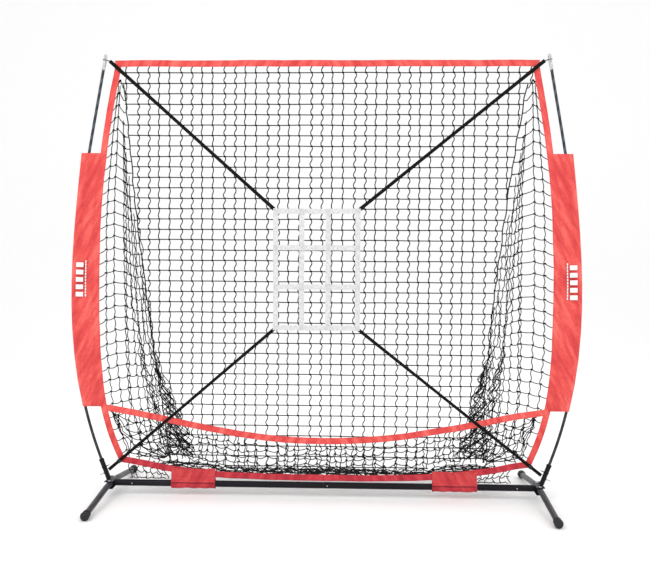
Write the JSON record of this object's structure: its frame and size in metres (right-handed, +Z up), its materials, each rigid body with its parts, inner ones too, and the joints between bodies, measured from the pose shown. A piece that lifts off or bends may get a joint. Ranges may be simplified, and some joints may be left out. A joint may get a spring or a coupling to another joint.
{
  "type": "pitching target net",
  "caption": "Bow-frame ball net: a red-bound sloping net with a ball pocket and a hanging webbing strike zone, on bowed poles in cloth sleeves and a steel base with folding legs.",
  "frame": {"origin": "on the ground, at the middle of the base", "axes": "+X to the net's right as the pitcher sees it, +Y to its back, +Z up; the net's mouth lies in the plane Y = 0"},
  "size_m": [2.4806, 0.9238, 2.1498],
  "materials": {
    "black_steel": "satin black powder coat",
    "grey_steel": "satin charcoal powder coat",
    "zinc": "bright zinc plate",
    "black_rubber": "matt moulded rubber",
    "black_pole": "satin black glass-fibre rod",
    "slate_pole": "satin slate glass-fibre rod with a spiral wrap",
    "pale_plastic": "pale moulded plastic",
    "red_cloth": "woven coated cloth",
    "dark_red_cloth": "woven coated cloth",
    "twine": "knotted black twine",
    "white_webbing": "ribbed woven webbing",
    "black_elastic": "woven elastic",
    "black_plastic": "matt moulded plastic"
  },
  "bodies": {
    "frame_and_net": {"cross_bar_left": "black_steel", "cross_bar_right": "black_steel", "hub_left": "black_steel", "hub_right": "black_steel", "pole_socket_left": "black_steel", "pole_socket_right": "black_steel", "leg_pin_front_left": "zinc", "leg_pin_front_right": "zinc", "leg_pin_rear_left": "zinc", "leg_pin_rear_right": "zinc", "pole_lower_left": "black_pole", "pole_lower_right": "black_pole", "pole_upper_left": "slate_pole", "pole_upper_right": "slate_pole", "pole_ferrule_left": "zinc", "pole_ferrule_right": "zinc", "tip_cap_left": "pale_plastic", "tip_cap_right": "pale_plastic", "pole_sleeve_left": "red_cloth", "pole_sleeve_right": "red_cloth", "binding_top": "red_cloth", "binding_left": "red_cloth", "binding_right": "red_cloth", "binding_bottom": "dark_red_cloth", "pocket_lip": "red_cloth", "bar_wrap_left": "dark_red_cloth", "bar_wrap_right": "dark_red_cloth", "back_net": "twine", "side_net_left": "twine", "side_net_right": "twine", "pocket_net_front": "twine", "pocket_net_floor": "twine", "strike_frame": "white_webbing", "strike_upright_left": "white_webbing", "strike_upright_right": "white_webbing", "strike_crossbar_upper": "white_webbing", "strike_crossbar_lower": "white_webbing", "strap_upper_left": "black_elastic", "strap_upper_right": "black_elastic", "strap_lower_left": "black_elastic", "strap_lower_right": "black_elastic", "corner_loop_upper_left": "black_elastic", "corner_loop_upper_right": "black_elastic", "corner_loop_lower_left": "black_elastic", "corner_loop_lower_right": "black_elastic"},
    "leg_front_left": {"leg_front_left": "grey_steel", "foot_cap_front_left": "black_rubber"},
    "leg_front_right": {"leg_front_right": "grey_steel", "foot_cap_front_right": "black_rubber"},
    "leg_rear_left": {"leg_rear_left": "grey_steel", "foot_cap_rear_left": "black_rubber"},
    "leg_rear_right": {"leg_rear_right": "grey_steel", "foot_cap_rear_right": "black_rubber"},
    "button_left": {"snap_button_left": "zinc"},
    "button_centre": {"snap_button_centre": "zinc"},
    "button_right": {"snap_button_right": "zinc"},
    "lock_left": {"lock_pin_left": "zinc"},
    "lock_right": {"lock_pin_right": "zinc"},
    "slider_left": {"strap_slider_left": "black_plastic"},
    "slider_right": {"strap_slider_right": "black_plastic"}
  },
  "joints": [
    {"name": "fold_front_left", "type": "hinge", "parent": "frame_and_net", "child": "leg_front_left", "pos_m": [-1.045, -0.046, 0.06], "axis": [0, 0, 1], "range_deg": [0, 90]},
    {"name": "fold_front_right", "type": "hinge", "parent": "frame_and_net", "child": "leg_front_right", "pos_m": [1.045, -0.046, 0.06], "axis": [0, 0, -1], "range_deg": [0, 90]},
    {"name": "fold_rear_left", "type": "hinge", "parent": "frame_and_net", "child": "leg_rear_left", "pos_m": [-1.045, 0.046, 0.06], "axis": [0, 0, -1], "range_deg": [0, 90]},
    {"name": "fold_rear_right", "type": "hinge", "parent": "frame_and_net", "child": "leg_rear_right", "pos_m": [1.045, 0.046, 0.06], "axis": [0, 0, 1], "range_deg": [0, 90]},
    {"name": "press_left", "type": "slide", "parent": "frame_and_net", "child": "button_left", "axis": [0, 1, 0], "range_m": [0, 0.0044], "stiffness_N_per_m": 400, "springref_m": -0.002},
    {"name": "press_centre", "type": "slide", "parent": "frame_and_net", "child": "button_centre", "axis": [0, 1, 0], "range_m": [0, 0.0044], "stiffness_N_per_m": 400, "springref_m": -0.002},
    {"name": "press_right", "type": "slide", "parent": "frame_and_net", "child": "button_right", "axis": [0, 1, 0], "range_m": [0, 0.0044], "stiffness_N_per_m": 400, "springref_m": -0.002},
    {"name": "pull_left", "type": "slide", "parent": "frame_and_net", "child": "lock_left", "axis": [-0.9336, 0, -0.3584], "range_m": [0, 0.006], "stiffness_N_per_m": 400, "springref_m": -0.002},
    {"name": "pull_right", "type": "slide", "parent": "frame_and_net", "child": "lock_right", "axis": [0.9336, 0, -0.3584], "range_m": [0, 0.006], "stiffness_N_per_m": 400, "springref_m": -0.002},
    {"name": "slide_left", "type": "slide", "parent": "frame_and_net", "child": "slider_left", "axis": [0.7577, 0, 0.6526], "range_m": [-0.02, 0.15]},
    {"name": "slide_right", "type": "slide", "parent": "frame_and_net", "child": "slider_right", "axis": [-0.7859, 0, 0.6183], "range_m": [-0.02, 0.15]}
  ]
}
